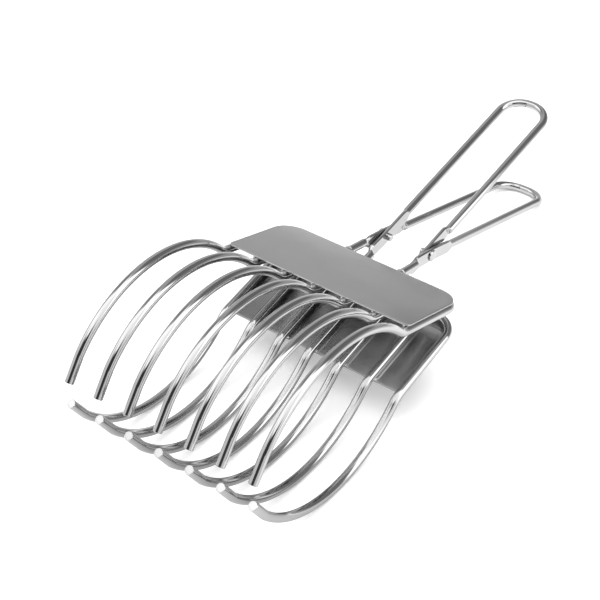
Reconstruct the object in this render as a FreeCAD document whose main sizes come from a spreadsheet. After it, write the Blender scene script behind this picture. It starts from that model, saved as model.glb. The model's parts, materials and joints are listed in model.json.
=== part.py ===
"""Claw tongs for lifting jars: two wire-and-plate halves that cross at two rivets.

The tongs lie on a table at Z = 0, as they rest when put down. X runs across them, +Z is up, the tines
point to -Y and the handles to +Y. The origin is under the middle of the whole tool.

Each half is first drawn lying flat in its own frame: the pivot axis is the X axis, forward is -Y and the
outer side of its plate faces +Z. The upper jaw is turned up to its tilt. The lower jaw is turned over and
then down, until the backs of its tines lie on the table.
"""

import FreeCAD, Part
import math
import os

import Sketcher

V = FreeCAD.Vector
ORIGIN = V(0, 0, 0)
ACROSS = V(1, 0, 0)
BACK = V(0, 1, 0)
FORWARD = V(0, -1, 0)
UP = V(0, 0, 1)

# name, value in millimetres or degrees, what it is
DRIVING_SIZES = (
    ("wire_diameter", 4.6, "all wire: tines, rims and handles"),
    ("plate_width", 109.4, "jaw plate across, side edge to side edge"),
    ("plate_depth", 51.2, "jaw plate from back edge to front edge"),
    ("plate_thickness", 0.8, "sheet"),
    ("plate_back_corner", 12, "radius of the plate's back corners"),
    ("plate_front_corner", 3, "radius of the plate's front corners"),
    ("plate_setback", 33.8, "pivot axis to the plate's back edge"),
    ("wire_drop", 2.95, "pivot axis to the plane of the welded wires, towards the other jaw"),
    ("rim_side_inset", 0.7, "plate's side edge to the rim wire's centreline"),
    ("rim_corner", 10, "centreline radius of the rim wire's back corners"),
    ("tine_count", 7, "tines of one jaw, the rim wire's two included"),
    ("tine_gap", 0.4, "rim wire to the rear ends of the inner tines"),
    ("root_radius", 14.3, "bend where a tine leaves the plate, outwards"),
    ("root_bend", 30.4, "degrees of that bend"),
    ("claw_radius", 68.5, "long curve of a tine, towards the other jaw"),
    ("claw_bend", 94.3, "degrees of that curve"),
    ("tip_radius", 10, "last small bend before the tip"),
    ("tip_bend", 6.3, "degrees of that bend"),
    ("tip_length", 13.9, "straight tip"),
    ("lower_handle_length", 135.2, "pivot axis to the loop's end, centreline, on the upper jaw's half"),
    ("upper_handle_length", 129.2, "the same on the lower jaw's half"),
    ("handle_splay", 1.4, "degrees that a handle stands outwards from its plate's plane"),
    ("outer_leg_spacing", 28.6, "between leg centrelines of the half whose legs are outside"),
    ("inner_leg_spacing", 27.2, "between leg centrelines of the half whose legs are inside"),
    ("loop_corner", 12.8, "centreline radius at the loop's end"),
    ("flat_width", 7.4, "flattened stretch of a leg, across"),
    ("flat_thickness", 2.1, "flattened stretch of a leg, through"),
    ("flat_gap", 0.3, "between the two crossing legs"),
    ("flat_rear", 20.5, "pivot axis to where the handle is round again"),
    ("flat_front", 16.5, "pivot axis to where the front rod is round again"),
    ("flat_taper", 3, "length over which flat turns to round"),
    ("rivet_diameter", 3.6, "shank"),
    ("rivet_head_diameter", 6.2, "low head on the outside"),
    ("rivet_head_height", 1.3, "low head on the outside"),
    ("rivet_tail_diameter", 4, "peened end on the inside"),
    ("rivet_tail_length", 2.4, "peened end on the inside"),
    ("rivet_clearance", 0.06, "radial, in the legs that turn on the rivet"),
    ("head_play", 0.1, "rivet head to the leg under it"),
    ("weld_radius", 1.1, "a weld bead's own radius"),
    ("weld_length", 4, "a weld bead along its wire"),
    ("weld_bite", 0.2, "how far a bead's round would reach into wire and plate"),
    ("upper_jaw_tilt", 17.05, "degrees that the upper plate rises towards its tines"),
)

doc = FreeCAD.newDocument("ClawTongs")


def make_sheet():
    """The spreadsheet of driving sizes: name, value, meaning."""
    sheet = doc.addObject("Spreadsheet::Sheet", "Sizes")
    for row, (name, value, meaning) in enumerate(DRIVING_SIZES, start=1):
        sheet.set(f"A{row}", name)
        sheet.set(f"B{row}", str(value))
        sheet.setAlias(f"B{row}", name)
        sheet.set(f"C{row}", meaning)
    doc.recompute()
    return sheet


SHEET = make_sheet()


def size(name):
    """A driving size, read from the sheet."""
    return float(SHEET.get(name))


WIRE_RADIUS = size("wire_diameter") / 2
HALF_RIM = size("plate_width") / 2 - size("rim_side_inset")
TINE_SPACING = 2 * HALF_RIM / (size("tine_count") - 1)
WIRE_PLANE = -size("wire_drop")
FRONT_EDGE = size("plate_setback") + size("plate_depth")
RIM_BACK = size("plate_setback") + WIRE_RADIUS
ROD_SLOPE = math.degrees(math.atan2(size("wire_drop"), size("plate_setback")))
MEETING_PLANE = (size("outer_leg_spacing") + size("inner_leg_spacing")) / 4

# the curve of one tine from the plate's front edge to its tip; a turn about +X is towards the other jaw
CLAW = (
    ("bend", size("root_radius"), -size("root_bend"), ACROSS),
    ("bend", size("claw_radius"), size("claw_bend"), ACROSS),
    ("bend", size("tip_radius"), size("tip_bend"), ACROSS),
    ("run", size("tip_length")),
)


# ---------------------------------------------------------------- wire


def follow(start, heading, steps):
    """Edges of a centreline made of straight runs and tangent bends, with its end point and heading."""
    edges = []
    point = start
    for step in steps:
        if step[0] == "run":
            end = point + heading * step[1]
            edges.append(Part.LineSegment(point, end).toShape())
        else:
            radius, degrees, axis = step[1:]
            centre = point + axis.cross(heading) * math.copysign(radius, degrees)
            halfway = centre + FreeCAD.Rotation(axis, degrees / 2).multVec(point - centre)
            end = centre + FreeCAD.Rotation(axis, degrees).multVec(point - centre)
            edges.append(Part.Arc(point, halfway, end).toShape())
            heading = FreeCAD.Rotation(axis, degrees).multVec(heading)
        point = end
    return edges, point, heading


def backwards(steps):
    """The same steps, followed from their other end."""
    turned = []
    for step in reversed(steps):
        if step[0] == "run":
            turned.append(step)
        else:
            turned.append(("bend", step[1], -step[2], step[3]))
    return tuple(turned)


def bent_wire(label, start, heading, steps):
    """A round wire swept along runs and bends."""
    section = doc.addObject("Part::Circle", label + "_section")
    section.setExpression("Radius", "Sizes.wire_diameter / 2")
    section.Placement = FreeCAD.Placement(start, FreeCAD.Rotation(UP, heading))
    centreline = doc.addObject("Part::Feature", label + "_centreline")
    centreline.Shape = Part.Wire(follow(start, heading, steps)[0])
    wire = doc.addObject("Part::Sweep", label)
    wire.Label = label
    wire.Sections = [section]
    wire.Spine = (centreline, [])
    wire.Solid = True
    doc.recompute()
    expected = math.pi * WIRE_RADIUS**2 * centreline.Shape.Length
    if abs(wire.Shape.Volume / expected - 1) > 0.001:
        raise ValueError(f"{label}: the swept wire has the wrong volume")
    return wire


def rim_wire(label):
    """One wire: outer tine, plate's side, plate's back, other side, other outer tine."""
    root = V(HALF_RIM, -FRONT_EDGE, WIRE_PLANE)
    _, tip, heading = follow(root, FORWARD, CLAW)
    side = ("run", FRONT_EDGE - RIM_BACK - size("rim_corner"))
    corner = ("bend", size("rim_corner"), -90, UP)
    back = ("run", 2 * (HALF_RIM - size("rim_corner")))
    steps = backwards(CLAW) + (side, corner, back, corner, side) + CLAW
    return bent_wire(label, V(-tip.x, tip.y, tip.z), heading * -1, steps)


def inner_tine(label, offset):
    """A tine welded under the plate, offset across from the middle."""
    rear = RIM_BACK + WIRE_RADIUS + size("tine_gap")
    steps = (("run", FRONT_EDGE - rear),) + CLAW
    return bent_wire(label, V(offset, -rear, WIRE_PLANE), FORWARD, steps)


# ---------------------------------------------------------------- plate


def new_sketch(body, name, plane_role):
    """A sketch on one of the body's own origin planes."""
    sketch = body.newObject("Sketcher::SketchObject", name)
    plane = next(face for face in body.Origin.OriginFeatures if face.Role == plane_role)
    sketch.AttachmentSupport = [(plane, "")]
    sketch.MapMode = "FlatFace"
    return sketch


def bind(sketch, constraint, name, expression):
    """Adds a named dimension and ties it to an expression over the sheet."""
    index = sketch.addConstraint(constraint)
    sketch.renameConstraint(index, name)
    sketch.setExpression("Constraints." + name, expression)


def round_corners(body, name, at_front, radius_expression):
    """Fillets the upright edges at the plate's front or back."""
    middle = -(size("plate_setback") + size("plate_depth") / 2)
    base = body.Tip
    chosen = []
    for number, edge in enumerate(base.Shape.Edges, start=1):
        first, last = edge.Vertexes[0].Point, edge.Vertexes[-1].Point
        upright = abs(first.x - last.x) < 1e-6 and abs(first.y - last.y) < 1e-6
        if upright and (first.y < middle) == at_front:
            chosen.append(f"Edge{number}")
    fillet = body.newObject("PartDesign::Fillet", name)
    fillet.Base = (base, chosen)
    fillet.setExpression("Radius", radius_expression)
    doc.recompute()


def jaw_plate(label):
    """Flat sheet with a straight front edge, small front corners and wide back corners."""
    body = doc.addObject("PartDesign::Body", label)
    body.Label = label
    sketch = new_sketch(body, label + "_outline", "XY_Plane")
    sketch.setExpression("AttachmentOffset.Base.z", "Sizes.wire_diameter / 2 - Sizes.wire_drop")
    side = size("plate_width") / 2
    back = -size("plate_setback")
    corners = (V(-side, -FRONT_EDGE, 0), V(side, -FRONT_EDGE, 0), V(side, back, 0), V(-side, back, 0))
    for index, corner in enumerate(corners):
        sketch.addGeometry(Part.LineSegment(corner, corners[(index + 1) % 4]), False)
    for index in range(4):
        sketch.addConstraint(Sketcher.Constraint("Coincident", index, 2, (index + 1) % 4, 1))
    sketch.addConstraint(Sketcher.Constraint("Symmetric", 0, 1, 0, 2, -2))
    sketch.addConstraint(Sketcher.Constraint("Horizontal", 2))
    for index in (1, 3):
        sketch.addConstraint(Sketcher.Constraint("Vertical", index))
    width = Sketcher.Constraint("DistanceX", 0, 1, 0, 2, 2 * side)
    depth = Sketcher.Constraint("DistanceY", 1, 1, 1, 2, size("plate_depth"))
    setback = Sketcher.Constraint("DistanceY", 2, 1, -1, 1, size("plate_setback"))
    bind(sketch, width, "width", "Sizes.plate_width")
    bind(sketch, depth, "depth", "Sizes.plate_depth")
    bind(sketch, setback, "setback", "Sizes.plate_setback")
    pad = body.newObject("PartDesign::Pad", label + "_pad")
    pad.Profile = sketch
    pad.setExpression("Length", "Sizes.plate_thickness")
    doc.recompute()
    round_corners(body, label + "_back_corners", False, "Sizes.plate_back_corner")
    round_corners(body, label + "_front_corners", True, "Sizes.plate_front_corner")
    return body


# ---------------------------------------------------------------- handle


def leg_arm(label, flat_at, wire_at, turn, reach_name, rod_end=None):
    """The flat on one side of the pivot and its change to round wire, with a straight rod if it has one.

    The arm is drawn along +Y from the pivot and then turned about X. flat_at and wire_at are where the
    flat and the round wire lie across the tongs.
    """
    place = FreeCAD.Placement(ORIGIN, FreeCAD.Rotation(ACROSS, turn))
    flat_end = size(reach_name) - size("flat_taper")
    corner = V(flat_at - size("flat_thickness") / 2, 0, -size("flat_width") / 2)
    flat = doc.addObject("Part::Box", label + "_flat")
    flat.setExpression("Length", "Sizes.flat_thickness")
    flat.setExpression("Width", f"Sizes.{reach_name} - Sizes.flat_taper")
    flat.setExpression("Height", "Sizes.flat_width")
    flat.Placement = place * FreeCAD.Placement(corner, FreeCAD.Rotation())
    across_leg = FreeCAD.Rotation(ACROSS, 90)
    square = doc.addObject("Part::Plane", label + "_square_section")
    square.setExpression("Length", "Sizes.flat_thickness")
    square.setExpression("Width", "Sizes.flat_width")
    square.Placement = place * FreeCAD.Placement(corner + V(0, flat_end, 0), across_leg)
    circle = doc.addObject("Part::Circle", label + "_round_section")
    circle.setExpression("Radius", "Sizes.wire_diameter / 2")
    circle.Placement = place * FreeCAD.Placement(V(wire_at, size(reach_name), 0), across_leg)
    taper = doc.addObject("Part::Loft", label + "_taper")
    taper.Sections = [square, circle]
    taper.Solid = True
    taper.Ruled = True
    if rod_end is None:
        return [flat, taper]
    rod = doc.addObject("Part::Cylinder", label + "_rod")
    rod.setExpression("Radius", "Sizes.wire_diameter / 2")
    rod.Height = rod_end - size(reach_name)
    rod_start = V(wire_at, size(reach_name), 0)
    rod.Placement = place * FreeCAD.Placement(rod_start, FreeCAD.Rotation(ACROSS, -90))
    return [flat, taper, rod]


def handle_loop(label, length_name, spacing_name, flat_side, bore_expression):
    """A U of wire with both legs flattened at the pivot, bored for the rivets and ended at the rim wire.

    flat_side is +1 where the flats lie outside the plane in which the halves meet, and -1 inside it.
    """
    half_spacing = size(spacing_name) / 2
    flat_at = MEETING_PLANE + flat_side * (size("flat_gap") + size("flat_thickness")) / 2
    splay = FreeCAD.Rotation(ACROSS, size("handle_splay"))
    along, normal = splay.multVec(BACK), splay.multVec(UP)
    leg = ("run", size(length_name) - size("loop_corner") - size("flat_rear"))
    corner = ("bend", size("loop_corner"), 90, normal)
    end = ("run", 2 * (half_spacing - size("loop_corner")))
    start = V(half_spacing, 0, 0) + along * size("flat_rear")
    pieces = [bent_wire(label + "_loop", start, along, (leg, corner, end, corner, leg))]
    slope = math.radians(ROD_SLOPE)
    rod_end = RIM_BACK * math.cos(slope) + size("wire_drop") * math.sin(slope) - WIRE_RADIUS
    rod_at = MEETING_PLANE + flat_side * (size("flat_gap") / 2 + WIRE_RADIUS)
    for side, sign in (("left", -1), ("right", 1)):
        name = f"{label}_{side}"
        eye = doc.addObject("Part::Cylinder", name + "_eye")
        eye.setExpression("Radius", "Sizes.flat_width / 2")
        eye.setExpression("Height", "Sizes.flat_thickness")
        eye_start = V(sign * flat_at - size("flat_thickness") / 2, 0, 0)
        eye.Placement = FreeCAD.Placement(eye_start, FreeCAD.Rotation(BACK, 90))
        rear_turn, front_turn = size("handle_splay"), 180 + ROD_SLOPE
        pieces.append(eye)
        pieces += leg_arm(name + "_rear", sign * flat_at, sign * half_spacing, rear_turn, "flat_rear")
        pieces += leg_arm(name + "_front", sign * flat_at, sign * rod_at, front_turn, "flat_front", rod_end)
    joined = doc.addObject("Part::MultiFuse", label + "_joined")
    joined.Shapes = pieces
    bore = doc.addObject("Part::Cylinder", label + "_bore")
    bore.setExpression("Radius", bore_expression)
    bore.setExpression("Height", f"2 * Sizes.{spacing_name}")
    bore.Placement = FreeCAD.Placement(V(-size(spacing_name), 0, 0), FreeCAD.Rotation(BACK, 90))
    handle = doc.addObject("Part::Cut", label)
    handle.Label = label
    handle.Base = joined
    handle.Tool = bore
    doc.recompute()
    return handle


# ---------------------------------------------------------------- welds and rivets


def weld_beads(label, plate, wires, rod_at):
    """Short beads beside each tine at the front edge, and beside each front rod where it meets the rim.

    A bead is a short round bar less the pieces that it joins, so it fits them face to face.
    """
    radius, bite = size("weld_radius"), size("weld_bite")
    bars = []
    beside = WIRE_RADIUS - bite
    bead_start = -FRONT_EDGE + bite
    level = WIRE_PLANE + WIRE_RADIUS - radius + bite
    for number in range(int(size("tine_count"))):
        tine_at = -HALF_RIM + number * TINE_SPACING
        for side in (-1, 1):
            if abs(tine_at + side * beside) < HALF_RIM:
                start = V(tine_at + side * beside, bead_start, level)
                bars.append(Part.makeCylinder(radius, size("weld_length"), start, BACK))
    height = size("weld_length") / 2
    for rod in (-rod_at, rod_at):
        for side in (-1, 1):
            beside_rod = rod + side * (WIRE_RADIUS + bite)
            start = V(beside_rod, bite - size("plate_setback"), WIRE_PLANE - height / 2)
            bars.append(Part.makeCylinder(radius, height, start, UP))
    neighbours = [plate.Shape] + [wire.Shape for wire in wires]
    beads = []
    for bar in bars:
        left_over = bar.cut(neighbours).Solids
        beads.append(max(left_over, key=lambda solid: solid.Volume))
    welds = doc.addObject("Part::Feature", label)
    welds.Label = label
    welds.Shape = Part.Compound(beads)
    return welds


def rivet(label):
    """Low head outside, shank through both legs, peened end inside; turned about the X axis."""
    body = doc.addObject("PartDesign::Body", label)
    body.Label = label
    sketch = new_sketch(body, label + "_profile", "XY_Plane")
    meeting = "(Sizes.outer_leg_spacing + Sizes.inner_leg_spacing) / 4"
    inner_face = meeting + " - Sizes.flat_gap / 2 - Sizes.flat_thickness"
    under_head = meeting + " + Sizes.flat_gap / 2 + Sizes.flat_thickness + Sizes.head_play"
    tail_end = inner_face + " - Sizes.rivet_tail_length"
    crown = under_head + " + Sizes.rivet_head_height"
    shank = "Sizes.rivet_diameter / 2"
    tail = "Sizes.rivet_tail_diameter / 2"
    head = "Sizes.rivet_head_diameter / 2"
    outline = (
        (tail_end, "0"),
        (tail_end, tail),
        (inner_face, tail),
        (inner_face, shank),
        (under_head, shank),
        (under_head, head),
        (under_head + " + Sizes.rivet_head_height / 2", head),
        (crown, head + " - Sizes.rivet_head_height / 2"),
        (crown, "0"),
    )
    points = [V(SHEET.evalExpression(along), SHEET.evalExpression(out), 0) for along, out in outline]
    count = len(points)
    for index, point in enumerate(points):
        sketch.addGeometry(Part.LineSegment(point, points[(index + 1) % count]), False)
    for index, (along, out) in enumerate(outline):
        sketch.addConstraint(Sketcher.Constraint("Coincident", index, 2, (index + 1) % count, 1))
        place_along = Sketcher.Constraint("DistanceX", -1, 1, index, 1, points[index].x)
        bind(sketch, place_along, f"along_{index}", along)
        if out == "0":
            sketch.addConstraint(Sketcher.Constraint("PointOnObject", index, 1, -1))
        else:
            place_out = Sketcher.Constraint("DistanceY", -1, 1, index, 1, points[index].y)
            bind(sketch, place_out, f"out_{index}", out)
    turned = body.newObject("PartDesign::Revolution", label + "_turned")
    turned.Profile = sketch
    turned.ReferenceAxis = (sketch, ["H_Axis"])
    turned.Angle = 360
    doc.recompute()
    return body


# ---------------------------------------------------------------- the two halves


def make_half(jaw, handle_label, length_name, spacing_name, flat_side, bore_expression):
    """All pieces of one half, in the half's own frame."""
    plate = jaw_plate(jaw + "_plate")
    wires = [rim_wire(jaw + "_rim_wire")]
    last = int(size("tine_count")) - 1
    for number in range(1, last):
        offset = -HALF_RIM + number * TINE_SPACING
        wires.append(inner_tine(f"{jaw}_tine_{number + 1}", offset))
    handle = handle_loop(handle_label, length_name, spacing_name, flat_side, bore_expression)
    rod_at = MEETING_PLANE + flat_side * (size("flat_gap") / 2 + WIRE_RADIUS)
    welds = weld_beads(jaw + "_weld_beads", plate, wires + [handle], rod_at)
    return [plate] + wires + [handle, welds]


def pivot_height():
    """Height at which the lower handle's end lies on the table."""
    drop = math.radians(size("upper_jaw_tilt") - size("handle_splay"))
    return size("lower_handle_length") * math.sin(drop) + WIRE_RADIUS


def lower_jaw_tilt():
    """Degrees that the lower plate falls towards its tines, so that the tines' backs lie on the table."""
    root, bend = size("root_radius"), math.radians(size("root_bend"))
    claw = size("claw_radius")
    centre_forward = FRONT_EDGE + (root + claw) * math.sin(bend)
    centre_out = WIRE_PLANE + root * (1 - math.cos(bend)) - claw * math.cos(bend)
    drop = pivot_height() - claw - WIRE_RADIUS
    reach = math.hypot(centre_forward, centre_out)
    return math.degrees(math.asin(drop / reach) - math.atan2(centre_out, centre_forward))


def check_shapes(pieces):
    """Stops if any object failed or any piece's shape isn't sound."""
    for thing in doc.Objects:
        if any(state in ("Invalid", "Error") for state in thing.State):
            raise ValueError(f"{thing.Name} failed: {thing.State}")
    for piece in pieces:
        if piece.Shape.isNull() or not piece.Shape.isValid() or not piece.Shape.Solids:
            raise ValueError(f"{piece.Label} has no sound solid")


upper_half = make_half(
    "upper", "lower_handle_loop", "lower_handle_length", "outer_leg_spacing", 1,
    "Sizes.rivet_diameter / 2 + Sizes.rivet_clearance",
)
lower_half = make_half(
    "lower", "upper_handle_loop", "upper_handle_length", "inner_leg_spacing", -1,
    "Sizes.rivet_diameter / 2",
)
rivets = [rivet("left_rivet"), rivet("right_rivet")]
all_pieces = upper_half + lower_half + rivets

upper_turn = FreeCAD.Rotation(ACROSS, -size("upper_jaw_tilt"))
lower_turn = FreeCAD.Rotation(ACROSS, lower_jaw_tilt()) * FreeCAD.Rotation(BACK, 180)


def place_all(pivot):
    """Puts every piece at the pivot, with each half turned as it rests."""
    for piece in upper_half:
        piece.Placement = FreeCAD.Placement(pivot, upper_turn)
    for piece in lower_half:
        piece.Placement = FreeCAD.Placement(pivot, lower_turn)
    left_rivet, right_rivet = rivets
    left_rivet.Placement = FreeCAD.Placement(pivot, FreeCAD.Rotation(UP, 180))
    right_rivet.Placement = FreeCAD.Placement(pivot, FreeCAD.Rotation())
    doc.recompute()


place_all(V(0, 0, pivot_height()))
boxes = [piece.Shape.optimalBoundingBox(False) for piece in all_pieces]
middle = (min(box.YMin for box in boxes) + max(box.YMax for box in boxes)) / 2
pivot_point = V(0, -middle, pivot_height())
place_all(pivot_point)
check_shapes(all_pieces)

os.makedirs("parts", exist_ok=True)
for piece in all_pieces:
    piece.Shape.exportStep(f"parts/{piece.Label}.step")
print(f"pivot at y {pivot_point.y:.3f}, z {pivot_point.z:.3f}; lower jaw tilt {lower_jaw_tilt():.3f}")
print(f"{len(all_pieces)} pieces, tine spacing {TINE_SPACING:.3f}")
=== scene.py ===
import json
import math
import random

import bmesh
import bpy
from mathutils import Matrix, Vector
from mathutils.noise import noise


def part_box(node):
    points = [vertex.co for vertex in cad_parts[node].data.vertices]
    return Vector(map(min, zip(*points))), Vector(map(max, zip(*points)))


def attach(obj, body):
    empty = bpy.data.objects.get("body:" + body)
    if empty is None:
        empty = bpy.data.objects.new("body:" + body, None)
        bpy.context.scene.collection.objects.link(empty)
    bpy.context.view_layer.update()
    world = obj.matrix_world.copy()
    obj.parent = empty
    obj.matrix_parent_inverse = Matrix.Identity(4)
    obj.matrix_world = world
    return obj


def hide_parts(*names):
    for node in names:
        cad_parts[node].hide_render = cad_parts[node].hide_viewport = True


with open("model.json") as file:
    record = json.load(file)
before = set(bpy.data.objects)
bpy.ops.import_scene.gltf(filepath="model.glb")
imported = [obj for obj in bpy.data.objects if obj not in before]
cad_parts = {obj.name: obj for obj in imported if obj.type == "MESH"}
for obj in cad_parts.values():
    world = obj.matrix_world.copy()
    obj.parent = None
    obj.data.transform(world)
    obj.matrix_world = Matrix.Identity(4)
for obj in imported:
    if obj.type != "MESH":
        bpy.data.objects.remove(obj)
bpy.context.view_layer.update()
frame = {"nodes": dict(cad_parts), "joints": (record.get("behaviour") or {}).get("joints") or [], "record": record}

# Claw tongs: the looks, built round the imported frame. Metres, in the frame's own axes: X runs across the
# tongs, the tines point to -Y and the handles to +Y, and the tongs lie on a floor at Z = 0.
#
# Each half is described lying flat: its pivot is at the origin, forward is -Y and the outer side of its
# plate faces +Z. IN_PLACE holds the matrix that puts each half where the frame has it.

MM = 0.001
ORIGIN = Vector((0, 0, 0))
ACROSS = Vector((1, 0, 0))
BACK = Vector((0, 1, 0))
FORWARD = Vector((0, -1, 0))
UP = Vector((0, 0, 1))

# ---------------------------------------------------------------- sizes read from the frame

PIVOT = Vector(frame["joints"][0]["pos_m"])
FACES = {mount["name"]: Vector(mount["axis"]) for mount in frame["record"]["mounts"]}


def in_place(jaw):
    """The matrix from a half's own flat frame to its place in the tongs."""
    outwards = FACES[jaw + "_plate_face"]
    if jaw == "upper":
        turn = Matrix.Rotation(-math.atan2(outwards.y, outwards.z), 4, "X")
    else:
        turn = Matrix.Rotation(math.atan2(outwards.y, -outwards.z), 4, "X") @ Matrix.Rotation(math.pi, 4, "Y")
    return Matrix.Translation(PIVOT) @ turn


IN_PLACE = {"upper": in_place("upper"), "lower": in_place("lower")}
BODY = {"upper": "upper_jaw", "lower": "lower_jaw"}
SIDE = {"upper": 1, "lower": -1}
# The halves cross at the pivot, so the upper jaw's handle is the lower one.
HANDLE = {"upper": "lower_handle_loop", "lower": "upper_handle_loop"}


def flat_box(node, matrix):
    """A node's lowest and highest corners once matrix has taken its points to another frame."""
    points = [matrix @ vertex.co for vertex in frame["nodes"][node].data.vertices]
    low = Vector([min(point[axis] for point in points) for axis in range(3)])
    high = Vector([max(point[axis] for point in points) for axis in range(3)])
    return low, high


def middle_x(node):
    """Where a node's middle lies across the tongs."""
    low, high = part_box(node)
    return (low.x + high.x) / 2


plate_low, plate_high = flat_box("upper_plate", IN_PLACE["upper"].inverted())
tine_low, tine_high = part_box("upper_tine_4")
WIRE_RADIUS = (tine_high.x - tine_low.x) / 2
HALF_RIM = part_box("upper_rim_wire")[1].x - WIRE_RADIUS
HALF_PLATE = plate_high.x
SETBACK = -plate_high.y
FRONT_EDGE = -plate_low.y
PLATE_UNDER = plate_low.z
PLATE_TOP = plate_high.z
WIRE_PLANE = PLATE_UNDER - WIRE_RADIUS
RIM_BACK = SETBACK + WIRE_RADIUS
TINES = (2, 3, 4, 5, 6)

# ---------------------------------------------------------------- sizes of the bends, as the wire is bent

# Bends and the splay are in degrees.
RIM_CORNER = 10 * MM
TINE_GAP = 0.4 * MM
ROOT_RADIUS = 14.3 * MM
ROOT_BEND = 30.4
CLAW_RADIUS = 68.5 * MM
CLAW_BEND = 94.3
TIP_RADIUS = 10 * MM
TIP_BEND = 6.3
TIP_LENGTH = 13.9 * MM
LOOP_CORNER = 12.8 * MM
HANDLE_SPLAY = 1.4
PLATE_BACK_CORNER = 12 * MM
PLATE_FRONT_CORNER = 3 * MM
EDGE_ROUND = 0.18 * MM

# A wire's cut end: the chamfer, then a lip at a share of the end's radius, and a shallow hollow inside it
END_CHAMFER = 0.22 * MM
LIP_SHARE = 0.8
CUT_HOLLOW = 0.05 * MM
HOLLOW_SHARE = 0.97

RING_POINTS = 48
DEGREES_PER_STEP = 1.5
MERGE_DISTANCE = 0.001 * MM
SHARP_ANGLE = 32

CLAW = (
    ("bend", ROOT_RADIUS, -ROOT_BEND, ACROSS),
    ("bend", CLAW_RADIUS, CLAW_BEND, ACROSS),
    ("bend", TIP_RADIUS, TIP_BEND, ACROSS),
    ("run", TIP_LENGTH),
)

# ---------------------------------------------------------------- bmesh helpers


def points_of(geometry):
    """The vertices among mixed bmesh geometry."""
    return [item for item in geometry if isinstance(item, bmesh.types.BMVert)]


def lines_of(geometry):
    """The edges among mixed bmesh geometry."""
    return [item for item in geometry if isinstance(item, bmesh.types.BMEdge)]


def ring_at(bm, point, heading, radius):
    """An open circle round a point, square to a heading."""
    turn = UP.rotation_difference(heading).to_matrix().to_4x4()
    place = Matrix.Translation(point) @ turn
    made = bmesh.ops.create_circle(bm, cap_ends=False, segments=RING_POINTS, radius=radius, matrix=place)
    return list({edge for vertex in made["verts"] for edge in vertex.link_edges})


def pushed(bm, edges, move):
    """Extrudes a ring by a move and returns the new ring."""
    made = bmesh.ops.extrude_edge_only(bm, edges=edges)["geom"]
    bmesh.ops.translate(bm, verts=points_of(made), vec=move)
    return lines_of(made)


def corners_of(edges):
    """The vertices of a ring of edges."""
    return list({vertex for edge in edges for vertex in edge.verts})


def squeezed(bm, edges, point, factors):
    """Scales a ring about a point."""
    around = Matrix.Translation(-point)
    bmesh.ops.scale(bm, vec=factors, space=around, verts=corners_of(edges))


def closed_end(bm, edges, point, heading):
    """Chamfers a wire's cut end, from the point on, and closes it with a shallow hollow."""
    rim = pushed(bm, edges, heading * END_CHAMFER)
    end = point + heading * END_CHAMFER
    squeezed(bm, rim, end, Vector.Fill(3, 1 - END_CHAMFER / WIRE_RADIUS))
    lip = pushed(bm, rim, ORIGIN)
    squeezed(bm, lip, end, Vector.Fill(3, LIP_SHARE))
    hollow = pushed(bm, lip, heading * -CUT_HOLLOW)
    squeezed(bm, hollow, end - heading * CUT_HOLLOW, Vector.Fill(3, HOLLOW_SHARE))
    bmesh.ops.edgeloop_fill(bm, edges=hollow)


def bend_end(point, heading, step):
    """A bend's centre, and the point and heading at its end."""
    radius, degrees, axis = step[1:]
    centre = point + axis.cross(heading) * math.copysign(radius, degrees)
    turn = Matrix.Rotation(math.radians(degrees), 3, axis)
    return centre, centre + turn @ (point - centre), turn @ heading


def swept(bm, edges, point, heading, steps):
    """Carries a ring along straight runs and tangent bends. Returns the last ring, its point and heading."""
    for step in steps:
        if step[0] == "run":
            edges = pushed(bm, edges, heading * step[1])
            point = point + heading * step[1]
            continue
        degrees, axis = step[2:]
        centre, point, heading = bend_end(point, heading, step)
        count = max(2, round(abs(degrees) / DEGREES_PER_STEP))
        made = bmesh.ops.spin(
            bm, geom=edges, cent=centre, axis=axis, dvec=ORIGIN, angle=math.radians(degrees),
            steps=count, use_merge=False, use_duplicate=False,
        )
        edges = lines_of(made["geom_last"])
    return edges, point, heading


def backwards(steps):
    """The same steps, followed from their other end."""
    turned = []
    for step in reversed(steps):
        if step[0] == "run":
            turned.append(step)
        else:
            turned.append(("bend", step[1], -step[2], step[3]))
    return tuple(turned)


def followed(point, heading, steps):
    """Where a set of steps ends, and its heading there."""
    for step in steps:
        if step[0] == "run":
            point = point + heading * step[1]
        else:
            point, heading = bend_end(point, heading, step)[1:]
    return point, heading


def finished(bm, name, jaw, nodes, material, matrix=None):
    """Turns a bmesh into a piece in its place that rides on its half and stands for its nodes."""
    bmesh.ops.remove_doubles(bm, verts=bm.verts, dist=MERGE_DISTANCE)
    bmesh.ops.recalc_face_normals(bm, faces=bm.faces)
    bm.transform(IN_PLACE[jaw] if matrix is None else matrix)
    mesh = bpy.data.meshes.new(name)
    for face in bm.faces:
        face.smooth = True
    bm.to_mesh(mesh)
    bm.free()
    mesh.set_sharp_from_angle(angle=math.radians(SHARP_ANGLE))
    mesh.materials.append(material)
    piece = bpy.data.objects.new(name, mesh)
    bpy.context.scene.collection.objects.link(piece)
    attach(piece, BODY[jaw])
    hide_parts(*nodes)
    return piece


# ---------------------------------------------------------------- materials

# A noise's values lie mostly between these two.
NOISE_LOW = 0.3
NOISE_HIGH = 0.7
CLOUD_SCALE = 60
CLOUD_DETAIL = 6
GRAIN_SCALE = 600
GRAIN_DETAIL = 3
EVEN = (1, 1, 1)


def new_material(name):
    """An empty node material, with its Principled shader joined to its output."""
    material = bpy.data.materials.new(name)
    material.use_nodes = True
    nodes = material.node_tree.nodes
    nodes.clear()
    shader = nodes.new("ShaderNodeBsdfPrincipled")
    output = nodes.new("ShaderNodeOutputMaterial")
    material.node_tree.links.new(shader.outputs["BSDF"], output.inputs["Surface"])
    return material, shader


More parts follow.
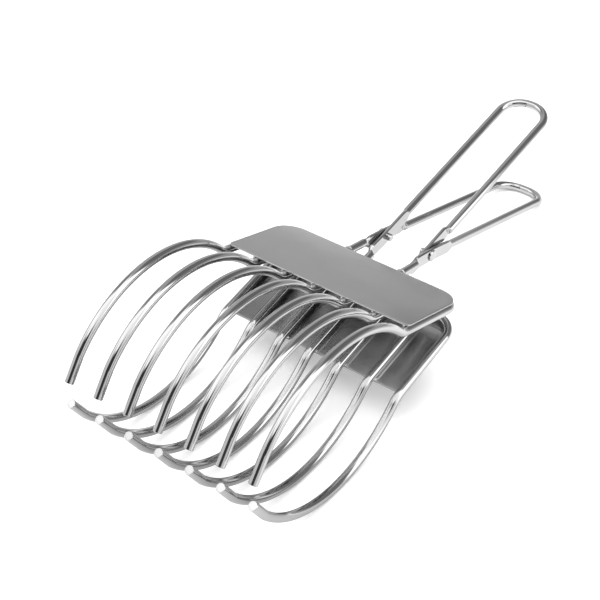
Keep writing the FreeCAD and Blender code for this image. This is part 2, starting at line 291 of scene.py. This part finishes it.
def pattern(material, scale, stretch, detail):
    """Noise on Object coordinates, stretched by its own scale along each axis."""
    nodes, links = material.node_tree.nodes, material.node_tree.links
    coordinates = nodes.new("ShaderNodeTexCoord")
    mapping = nodes.new("ShaderNodeMapping")
    mapping.inputs["Scale"].default_value = stretch
    texture = nodes.new("ShaderNodeTexNoise")
    texture.inputs["Scale"].default_value = scale
    texture.inputs["Detail"].default_value = detail
    links.new(coordinates.outputs["Object"], mapping.inputs["Vector"])
    links.new(mapping.outputs["Vector"], texture.inputs["Vector"])
    return texture.outputs["Fac"]


def spread(material, source, low, high):
    """Takes a noise's middle range to the range from low to high."""
    nodes, links = material.node_tree.nodes, material.node_tree.links
    ranged = nodes.new("ShaderNodeMapRange")
    ranged.inputs["From Min"].default_value = NOISE_LOW
    ranged.inputs["From Max"].default_value = NOISE_HIGH
    ranged.inputs["To Min"].default_value = low
    ranged.inputs["To Max"].default_value = high
    links.new(source, ranged.inputs["Value"])
    return ranged.outputs["Result"]


def grey_mix(material, source, dark, light):
    """A colour between two greys, by a pattern."""
    nodes, links = material.node_tree.nodes, material.node_tree.links
    mix = nodes.new("ShaderNodeMix")
    mix.data_type = "RGBA"
    mix.inputs["A"].default_value = (*dark, 1)
    mix.inputs["B"].default_value = (*light, 1)
    links.new(spread(material, source, 0, 1), mix.inputs["Factor"])
    return mix.outputs["Result"]


def bumped(material, shader, source, height):
    """Lifts the surface a little by a pattern."""
    nodes, links = material.node_tree.nodes, material.node_tree.links
    bump = nodes.new("ShaderNodeBump")
    bump.inputs["Strength"].default_value = 1
    bump.inputs["Distance"].default_value = height
    links.new(source, bump.inputs["Height"])
    links.new(bump.outputs["Normal"], shader.inputs["Normal"])


def steel(name, dark, light, roughness, bump_height, stretch=EVEN):
    """Bare steel: a cloudy colour from dark to light, and a fine grain in its roughness and bump."""
    material, shader = new_material(name)
    shader.inputs["Metallic"].default_value = 1
    links = material.node_tree.links
    cloud = pattern(material, CLOUD_SCALE, EVEN, CLOUD_DETAIL)
    grain = pattern(material, GRAIN_SCALE, stretch, GRAIN_DETAIL)
    links.new(grey_mix(material, cloud, dark, light), shader.inputs["Base Color"])
    links.new(spread(material, grain, *roughness), shader.inputs["Roughness"])
    bumped(material, shader, grain, bump_height)
    return material


WIRE_STEEL = steel(
    "polished_wire", dark=(0.56, 0.56, 0.56), light=(0.62, 0.62, 0.62), roughness=(0.04, 0.1),
    bump_height=0.002 * MM, stretch=(4, 0.1, 0.1),
)
PLATE_STEEL = steel(
    "satin_sheet", dark=(0.54, 0.54, 0.54), light=(0.57, 0.57, 0.57), roughness=(0.19, 0.25),
    bump_height=0.0015 * MM, stretch=(0.3, 3, 1),
)
RIVET_STEEL = steel(
    "rivet_steel", dark=(0.58, 0.58, 0.59), light=(0.66, 0.66, 0.67), roughness=(0.10, 0.2),
    bump_height=0.004 * MM,
)
WELD_STEEL = steel(
    "weld_metal", dark=(0.5, 0.5, 0.51), light=(0.66, 0.66, 0.67), roughness=(0.12, 0.3),
    bump_height=0.02 * MM,
)

# ---------------------------------------------------------------- tines and rim wires


def inner_tine(jaw, number):
    """A tine that starts under the plate and ends in a cut tip."""
    node = f"{jaw}_tine_{number}"
    across = middle_x(node) * SIDE[jaw]
    bm = bmesh.new()
    rear = RIM_BACK + WIRE_RADIUS + TINE_GAP + END_CHAMFER
    start = Vector((across, -rear, WIRE_PLANE))
    first = ring_at(bm, start, FORWARD, WIRE_RADIUS)
    steps = (("run", FRONT_EDGE - rear),) + CLAW[:-1] + (("run", TIP_LENGTH - END_CHAMFER),)
    last, end, heading = swept(bm, first, start, FORWARD, steps)
    closed_end(bm, first, start, BACK)
    closed_end(bm, last, end, heading)
    return finished(bm, node + "_wire", jaw, [node], WIRE_STEEL)


def rim_wire(jaw):
    """One wire from an outer tine's tip, round the plate's sides and back, to the other outer tine's tip."""
    node = jaw + "_rim_wire"
    bm = bmesh.new()
    tip, heading = followed(Vector((HALF_RIM, -FRONT_EDGE, WIRE_PLANE)), FORWARD, CLAW)
    side = ("run", FRONT_EDGE - RIM_BACK - RIM_CORNER)
    corner = ("bend", RIM_CORNER, -90, UP)
    back = ("run", 2 * (HALF_RIM - RIM_CORNER))
    short_tip = ("run", TIP_LENGTH - END_CHAMFER)
    round_plate = (side, corner, back, corner, side)
    steps = (short_tip,) + backwards(CLAW[:-1]) + round_plate + CLAW[:-1] + (short_tip,)
    start = Vector((-tip.x, tip.y, tip.z)) - heading * END_CHAMFER
    first = ring_at(bm, start, -heading, WIRE_RADIUS)
    last, end, out = swept(bm, first, start, -heading, steps)
    closed_end(bm, first, start, heading)
    closed_end(bm, last, end, out)
    return finished(bm, node + "_bent", jaw, [node], WIRE_STEEL)


for jaw in ("upper", "lower"):
    rim_wire(jaw)
    for number in TINES:
        inner_tine(jaw, number)

# ---------------------------------------------------------------- plates

BACK_CORNER_STEPS = 24
FRONT_CORNER_STEPS = 12
EDGE_STEPS = 3
LEVEL_WITHIN = 0.01 * MM


def jaw_plate(jaw):
    """A sheet with rounded corners, and edges eased all round."""
    node = jaw + "_plate"
    bm = bmesh.new()
    outline = ((-1, FRONT_EDGE), (1, FRONT_EDGE), (1, SETBACK), (-1, SETBACK))
    corners = [bm.verts.new((side * HALF_PLATE, -along, PLATE_UNDER)) for side, along in outline]
    bm.faces.new(corners)
    rounding = (
        (corners[2:], PLATE_BACK_CORNER, BACK_CORNER_STEPS),
        (corners[:2], PLATE_FRONT_CORNER, FRONT_CORNER_STEPS),
    )
    for pair, radius, segments in rounding:
        bmesh.ops.bevel(
            bm, geom=pair, offset=radius, offset_type="OFFSET", affect="VERTICES", segments=segments,
            profile=0.5, material=-1,
        )
    made = bmesh.ops.extrude_face_region(bm, geom=bm.faces[:])["geom"]
    bmesh.ops.translate(bm, verts=points_of(made), vec=UP * (PLATE_TOP - PLATE_UNDER))
    bmesh.ops.recalc_face_normals(bm, faces=bm.faces)
    flat_edges = [edge for edge in bm.edges if abs(edge.verts[0].co.z - edge.verts[1].co.z) < LEVEL_WITHIN]
    bmesh.ops.bevel(
        bm, geom=flat_edges, offset=EDGE_ROUND, offset_type="OFFSET", affect="EDGES", segments=EDGE_STEPS,
        profile=0.5, material=-1,
    )
    return finished(bm, node + "_sheet", jaw, [node], PLATE_STEEL)


for jaw in ("upper", "lower"):
    jaw_plate(jaw)

# ---------------------------------------------------------------- handles

FLAT_THICKNESS = 2.1 * MM
FLAT_WIDTH = 7.4 * MM
FLAT_GAP = 0.3 * MM
FLAT_REAR = 20.5 * MM
FLAT_FRONT = 16.5 * MM
LEG_SPACING = {"upper": 28.6 * MM, "lower": 27.2 * MM}
MEETING_PLANE = (LEG_SPACING["upper"] + LEG_SPACING["lower"]) / 4
ROD_ACROSS = {jaw: MEETING_PLANE + side * (FLAT_GAP / 2 + WIRE_RADIUS) for jaw, side in SIDE.items()}
ROD_SLOPE = math.atan2(-WIRE_PLANE, SETBACK)
SHOULDER = 1.5 * MM
WIDE_EASE = 3.6 * MM
STATION_STEP = 0.3 * MM
# Shares of FLAT_REAR, for the even stretch round the pivot.
EYE_STATIONS = (-0.3, -0.1, 0.1, 0.3)


def eased(value, start, end):
    """0 up to start, 1 from end on, with a smooth passage between."""
    share = min(max((value - start) / (end - start), 0), 1)
    return share * share * (3 - 2 * share)


def leg_ring(bm, jaw, along):
    """A leg's cross-section at a distance behind the pivot, or ahead of it where that is negative."""
    flat_at = MEETING_PLANE + SIDE[jaw] * (FLAT_GAP + FLAT_THICKNESS) / 2
    if along > 0:
        reach, slope, wire_at = FLAT_REAR, math.radians(HANDLE_SPLAY), LEG_SPACING[jaw] / 2
    else:
        reach, slope, wire_at = FLAT_FRONT, ROD_SLOPE, ROD_ACROSS[jaw]
    pressed = 1 - eased(abs(along), reach - SHOULDER, reach)
    widened = 1 - eased(abs(along), reach - WIDE_EASE, reach)
    half_thickness = WIRE_RADIUS + (FLAT_THICKNESS / 2 - WIRE_RADIUS) * pressed
    stretch = 1 + (FLAT_WIDTH / (2 * WIRE_RADIUS) - 1) * widened
    across = wire_at + (flat_at - wire_at) * pressed
    centre = Vector((across, along * math.cos(slope), along * math.sin(slope)))
    upright = Matrix.Rotation(math.pi / 2, 4, "X")
    shape = Matrix.Rotation(slope, 4, "X") @ Matrix.Diagonal((1, 1, stretch, 1)) @ upright
    place = Matrix.Translation(centre) @ shape
    made = bmesh.ops.create_circle(bm, cap_ends=False, segments=RING_POINTS, radius=WIRE_RADIUS, matrix=place)
    for vertex in made["verts"]:
        vertex.co.x = centre.x + min(max(vertex.co.x - centre.x, -half_thickness), half_thickness)
    return list({edge for vertex in made["verts"] for edge in vertex.link_edges}), centre


def stations():
    """Distances along a leg, from the rod's end to the round handle, close together at the flat's ends."""
    rod_end = -SETBACK / math.cos(ROD_SLOPE)
    places = [rod_end + END_CHAMFER]
    for start, end in ((-FLAT_FRONT, WIDE_EASE - FLAT_FRONT), (FLAT_REAR - WIDE_EASE, FLAT_REAR)):
        count = round((end - start) / STATION_STEP)
        places += [start + (end - start) * step / count for step in range(count + 1)]
        if start < 0:
            places += [FLAT_REAR * share for share in EYE_STATIONS]
    return places


def handle_loop(jaw):
    """Half the handle from its square rod end to the middle of the loop, mirrored across the tongs."""
    bm = bmesh.new()
    places = stations()
    first, first_centre = leg_ring(bm, jaw, places[0])
    last, last_centre = first, first_centre
    for along in places[1:]:
        ring, last_centre = leg_ring(bm, jaw, along)
        bmesh.ops.bridge_loops(bm, edges=last + ring)
        last = ring
    splay = Matrix.Rotation(math.radians(HANDLE_SPLAY), 3, "X")
    flat_splay = splay.inverted().to_4x4() @ IN_PLACE[jaw].inverted()
    length = flat_box(HANDLE[jaw], flat_splay)[1].y - WIRE_RADIUS
    steps = (
        ("run", length - LOOP_CORNER - FLAT_REAR),
        ("bend", LOOP_CORNER, 90, splay @ UP),
        ("run", LEG_SPACING[jaw] / 2 - LOOP_CORNER),
    )
    swept(bm, last, last_centre, splay @ BACK, steps)
    closed_end(bm, first, first_centre, Vector((0, -math.cos(ROD_SLOPE), -math.sin(ROD_SLOPE))))
    bmesh.ops.mirror(bm, geom=bm.verts[:] + bm.edges[:] + bm.faces[:], axis="X", merge_dist=MERGE_DISTANCE)
    return finished(bm, HANDLE[jaw] + "_wire", jaw, [HANDLE[jaw]], WIRE_STEEL)


for jaw in ("upper", "lower"):
    handle_loop(jaw)

# ---------------------------------------------------------------- rivets

RIVET_RADIUS = 1.8 * MM
TAIL_RADIUS = 2 * MM
HEAD_PLAY = 0.1 * MM
TAIL_ROUND = 0.35 * MM
HEAD_EDGE = 0.55 * MM
RIVET_STEPS = 64
DOME_STEPS = 12


def rivet(side, name):
    """A rivet turned about the pivot: peened tail inside, shank, and a low domed head outside."""
    low, high = (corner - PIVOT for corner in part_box("right_rivet"))
    head_radius = high.z
    inner_face = MEETING_PLANE - FLAT_GAP / 2 - FLAT_THICKNESS
    under_head = MEETING_PLANE + FLAT_GAP / 2 + FLAT_THICKNESS + HEAD_PLAY
    dome_height = high.x - under_head - HEAD_EDGE
    profile = [
        (low.x, 0),
        (low.x, TAIL_RADIUS - TAIL_ROUND),
        (low.x + TAIL_ROUND, TAIL_RADIUS),
        (inner_face, TAIL_RADIUS),
        (inner_face, RIVET_RADIUS),
        (under_head, RIVET_RADIUS),
        (under_head, head_radius),
        (under_head + HEAD_EDGE, head_radius),
    ]
    for step in range(1, DOME_STEPS + 1):
        angle = math.pi / 2 * step / DOME_STEPS
        dome_at = under_head + HEAD_EDGE + dome_height * math.sin(angle)
        profile.append((dome_at, head_radius * math.cos(angle)))
    bm = bmesh.new()
    verts = [bm.verts.new((side * along, 0, out)) for along, out in profile]
    edges = [bm.edges.new(pair) for pair in zip(verts, verts[1:])]
    bmesh.ops.spin(
        bm, geom=verts + edges, cent=ORIGIN, axis=ACROSS, dvec=ORIGIN, angle=2 * math.pi, steps=RIVET_STEPS,
        use_merge=True, use_duplicate=False,
    )
    return finished(bm, name + "_peened", "lower", [name], RIVET_STEEL, Matrix.Translation(PIVOT))


rivet(-1, "left_rivet")
rivet(1, "right_rivet")

# ---------------------------------------------------------------- welds

BEAD_LENGTH = 3.6 * MM
BEAD_RADIUS = 0.7 * MM
BEAD_FRONT = 1.2 * MM
BEAD_REAR = 3 * MM
COLLAR_RADIUS = 2.7 * MM
COLLAR_LENGTH = 2.2 * MM
COLLAR_REAR = 3.4 * MM
# A bead lies beside its tine by a share of the wire's radius, and below the plate's underside by a share of
# its own.
BESIDE_SHARE = 0.8
SUNK_SHARE = 0.5
BEAD_SEGMENTS = 20
BEAD_RINGS = 14
# The skin rises and falls by a share of the bead, by a noise read at a random place for each bead.
LUMP_HEIGHT = 0.08
LUMP_SCALE = 1.3
LUMP_PLACES = 50
random.seed(7)


def blob(bm, centre, half_sizes):
    """A bead: a ball pulled to three half sizes, with a slightly uneven skin."""
    made = bmesh.ops.create_uvsphere(bm, u_segments=BEAD_SEGMENTS, v_segments=BEAD_RINGS, radius=1)
    place = Matrix.Translation(centre) @ Matrix.Diagonal((*half_sizes, 1))
    shift = Vector([random.uniform(0, LUMP_PLACES) for axis in range(3)])
    for vertex in made["verts"]:
        lump = 1 + LUMP_HEIGHT * noise(vertex.co * LUMP_SCALE + shift)
        vertex.co = place @ (vertex.co * lump)


def weld_beads(jaw):
    """Beads beside each tine near the plate's front edge, and a collar round each rod behind the rim wire."""
    bm = bmesh.new()
    tines = [-HALF_RIM, HALF_RIM] + [middle_x(f"{jaw}_tine_{number}") for number in TINES]
    for tine_at in tines:
        for side in (-1, 1):
            beside = tine_at + side * WIRE_RADIUS * BESIDE_SHARE
            if abs(beside) > HALF_RIM:
                continue
            rear = BEAD_REAR if side > 0 else BEAD_FRONT
            centre = Vector((beside, rear - FRONT_EDGE, PLATE_UNDER - BEAD_RADIUS * SUNK_SHARE))
            blob(bm, centre, (BEAD_RADIUS, BEAD_LENGTH / 2, BEAD_RADIUS))
    for rod in (-ROD_ACROSS[jaw], ROD_ACROSS[jaw]):
        along = COLLAR_REAR - SETBACK
        centre = Vector((rod, along, -WIRE_PLANE * along / SETBACK))
        blob(bm, centre, (COLLAR_RADIUS, COLLAR_LENGTH / 2, COLLAR_RADIUS))
    return finished(bm, jaw + "_welds", jaw, [jaw + "_weld_beads"], WELD_STEEL)


for jaw in ("upper", "lower"):
    weld_beads(jaw)

# ---------------------------------------------------------------- floor, light and camera

# Angles in degrees. The azimuth goes from -Y towards +X.
VIEW_AZIMUTH = 37.46
VIEW_ELEVATION = 38.74
VIEW_ROLL = -0.50
VIEW_DISTANCE = 0.78106
VIEW_AIM = Vector((-0.0338, -0.0153, 0.0164))
FOCAL_LENGTH = 88.17
SENSOR = 36
NEAR_CLIP = 0.05

HALF_FLOOR = 0.6
FLOOR_WHITE = 0.95
FLOOR_ROUGHNESS = 0.9
FLOOR_GLOW = 0.2
PAINTED_SHADOW_MIDDLE = (0, -0.07, 0)
# Distance from under the claws, and the grey that the steel mirrors there: darker close under the claws, as a
# painted shadow of the tongs that only the steel sees, and darker again far off.
MIRRORED_FLOOR_WITH_PAINTED_SHADOW = ((0.06, 0.48), (0.14, 0.84), (0.26, 0.84), (0.4, 0.48))

# Metres, and watts.
LAMP_SIZE = 2
LAMP_HEIGHT = 1.5
LAMP_POWER = 24

WALLS = 0.82
BACKDROP = 1
# A half width past 180 degrees leaves no edge anywhere.
ALL_ROUND = 190

# Parts of the studio that the steel mirrors: middle azimuth and half width in degrees, lowest and highest
# elevation, half width of the soft edge, brightness. Later ones cover earlier ones.
STUDIO = (
    ("walls at the left and back", -145, 58, -95, 95, 5, 0.5),
    ("walls at the right and back", 150, 40, -95, 95, 4, 0.46),
    ("high front", -28, 50, 49, 70, 3, 1.7),
    ("high front right", 35, 32, 52, 70, 4, 1.3),
    ("ceiling", 25, 104, 62, 95, 5, 1.5),
    ("top of the ceiling", 0, ALL_ROUND, 76, 95, 5, 1.8),
    ("low back left", -145, 34, -95, 48, 6, 0.56),
    ("dark back right", 160, 36, 9, 64, 6, 0.2),
    ("dark back left", -108, 12, 38, 66, 6, 0.25),
    ("left soft box", -70, 18, 24, 66, 4, 1.7),
    ("right glow", 78, 18, 24, 66, 6, 1.3),
    ("right soft box", 105, 16, -95, 70, 3, 2),
    ("dark side of the camera", 22, 38, 13, 47, 3, 0.05),
)


def feed(links, value, slot):
    """Gives an input a plain number, or joins it to another node's output."""
    if isinstance(value, bpy.types.NodeSocket):
        links.new(value, slot)
    else:
        slot.default_value = value


def maths(nodes, links, operation, *values):
    """A Math node on outputs or plain numbers."""
    node = nodes.new("ShaderNodeMath")
    node.operation = operation
    for slot, value in zip(node.inputs, values):
        feed(links, value, slot)
    return node.outputs[0]


def make_camera():
    """Looks at the tongs from the front right, above."""
    around, above, roll = (math.radians(angle) for angle in (VIEW_AZIMUTH, VIEW_ELEVATION, VIEW_ROLL))
    level_out = Vector((math.sin(around), -math.cos(around), 0))
    towards = Vector((level_out.x * math.cos(above), level_out.y * math.cos(above), math.sin(above)))
    level = Vector((math.cos(around), math.sin(around), 0))
    upright = towards.cross(level)
    right = level * math.cos(roll) + upright * math.sin(roll)
    up = upright * math.cos(roll) - level * math.sin(roll)
    turn = Matrix((right, up, towards)).transposed().to_4x4()
    data = bpy.data.cameras.new("camera")
    data.sensor_width = SENSOR
    data.lens = FOCAL_LENGTH
    data.clip_start = NEAR_CLIP
    camera = bpy.data.objects.new("camera", data)
    camera.matrix_world = Matrix.Translation(VIEW_AIM + towards * VIEW_DISTANCE) @ turn
    bpy.context.scene.collection.objects.link(camera)
    bpy.context.scene.camera = camera


def make_floor():
    """A pale floor that glows a little to the camera, and that steel mirrors in greys, with a painted shadow under
    the claws in those mirrored greys.
    """
    bm = bmesh.new()
    bmesh.ops.create_grid(bm, x_segments=1, y_segments=1, size=HALF_FLOOR)
    mesh = bpy.data.meshes.new("floor")
    bm.to_mesh(mesh)
    bm.free()
    material, shader = new_material("floor_paper")
    nodes, links = material.node_tree.nodes, material.node_tree.links
    seen = nodes.new("ShaderNodeLightPath")
    place = nodes.new("ShaderNodeTexCoord")
    away = nodes.new("ShaderNodeVectorMath")
    away.operation = "DISTANCE"
    away.inputs[1].default_value = PAINTED_SHADOW_MIDDLE
    links.new(place.outputs["Object"], away.inputs[0])
    # The floor as the steel mirrors it is greyer close under the claws: a painted shadow of the tongs, seen only
    # in reflections.
    painted_shadow_ramp = nodes.new("ShaderNodeValToRGB")
    stops = painted_shadow_ramp.color_ramp.elements
    while len(stops) < len(MIRRORED_FLOOR_WITH_PAINTED_SHADOW):
        stops.new(1)
    for stop, (distance, grey) in zip(stops, MIRRORED_FLOOR_WITH_PAINTED_SHADOW):
        stop.position = distance
        stop.color = (grey, grey, grey, 1)
    links.new(away.outputs["Value"], painted_shadow_ramp.inputs["Fac"])
    tone = nodes.new("ShaderNodeMix")
    tone.data_type = "RGBA"
    tone.inputs["A"].default_value = (FLOOR_WHITE, FLOOR_WHITE, FLOOR_WHITE, 1)
    links.new(painted_shadow_ramp.outputs["Color"], tone.inputs["B"])
    links.new(seen.outputs["Is Glossy Ray"], tone.inputs["Factor"])
    links.new(tone.outputs["Result"], shader.inputs["Base Color"])
    glow = maths(nodes, links, "MULTIPLY", seen.outputs["Is Camera Ray"], FLOOR_GLOW)
    links.new(glow, shader.inputs["Emission Strength"])
    shader.inputs["Emission Color"].default_value = (1, 1, 1, 1)
    shader.inputs["Roughness"].default_value = FLOOR_ROUGHNESS
    mesh.materials.append(material)
    floor = bpy.data.objects.new("floor", mesh)
    bpy.context.scene.collection.objects.link(floor)


def soft_step(nodes, links, value, edge, softness, rising):
    """0 to 1 across a soft edge, or 1 to 0 where it isn't rising. The edge and softness are in degrees."""
    step = nodes.new("ShaderNodeMapRange")
    step.interpolation_type = "SMOOTHSTEP"
    step.inputs["From Min"].default_value = math.radians(edge - softness)
    step.inputs["From Max"].default_value = math.radians(edge + softness)
    step.inputs["To Min"].default_value = 0 if rising else 1
    step.inputs["To Max"].default_value = 1 if rising else 0
    links.new(value, step.inputs["Value"])
    return step.outputs["Result"]


def make_world():
    """A plain white surround to the camera, and a pale studio of soft patches for the steel to mirror."""
    world = bpy.data.worlds.new("studio")
    world.use_nodes = True
    nodes, links = world.node_tree.nodes, world.node_tree.links
    coordinates = nodes.new("ShaderNodeTexCoord")
    parts = nodes.new("ShaderNodeSeparateXYZ")
    links.new(coordinates.outputs["Generated"], parts.inputs["Vector"])
    elevation = maths(nodes, links, "ARCSINE", parts.outputs["Z"])
    level = nodes.new("ShaderNodeCombineXYZ")
    links.new(parts.outputs["X"], level.inputs["X"])
    links.new(parts.outputs["Y"], level.inputs["Y"])
    unit = nodes.new("ShaderNodeVectorMath")
    unit.operation = "NORMALIZE"
    links.new(level.outputs["Vector"], unit.inputs[0])
    light = WALLS
    for name, middle, half_width, lowest, highest, softness, brightness in STUDIO:
        along = nodes.new("ShaderNodeVectorMath")
        along.operation = "DOT_PRODUCT"
        along.label = name
        along.inputs[1].default_value = (math.sin(math.radians(middle)), -math.cos(math.radians(middle)), 0)
        links.new(unit.outputs["Vector"], along.inputs[0])
        away = maths(nodes, links, "ARCCOSINE", along.outputs["Value"])
        mask = soft_step(nodes, links, away, half_width, softness, False)
        above = soft_step(nodes, links, elevation, lowest, softness, True)
        below = soft_step(nodes, links, elevation, highest, softness, False)
        mask = maths(nodes, links, "MULTIPLY", maths(nodes, links, "MULTIPLY", mask, above), below)
        mix = nodes.new("ShaderNodeMix")
        mix.inputs["B"].default_value = brightness
        links.new(mask, mix.inputs["Factor"])
        feed(links, light, mix.inputs["A"])
        light = mix.outputs["Result"]
    seen = nodes.new("ShaderNodeLightPath")
    shown = nodes.new("ShaderNodeMix")
    shown.inputs["B"].default_value = BACKDROP
    links.new(seen.outputs["Is Camera Ray"], shown.inputs["Factor"])
    links.new(light, shown.inputs["A"])
    links.new(shown.outputs["Result"], nodes["Background"].inputs["Strength"])
    nodes["Background"].inputs["Color"].default_value = (1, 1, 1, 1)
    bpy.context.scene.world = world


def make_lamp():
    """A large soft light overhead that whitens the floor and leaves no mirror image in the steel."""
    data = bpy.data.lights.new("overhead", "AREA")
    data.shape = "SQUARE"
    data.size = LAMP_SIZE
    data.energy = LAMP_POWER
    lamp = bpy.data.objects.new("overhead", data)
    lamp.location = (0, 0, LAMP_HEIGHT)
    lamp.visible_glossy = False
    bpy.context.scene.collection.objects.link(lamp)


make_camera()
make_floor()
make_world()
make_lamp()
bpy.context.scene.view_settings.view_transform = "Standard"
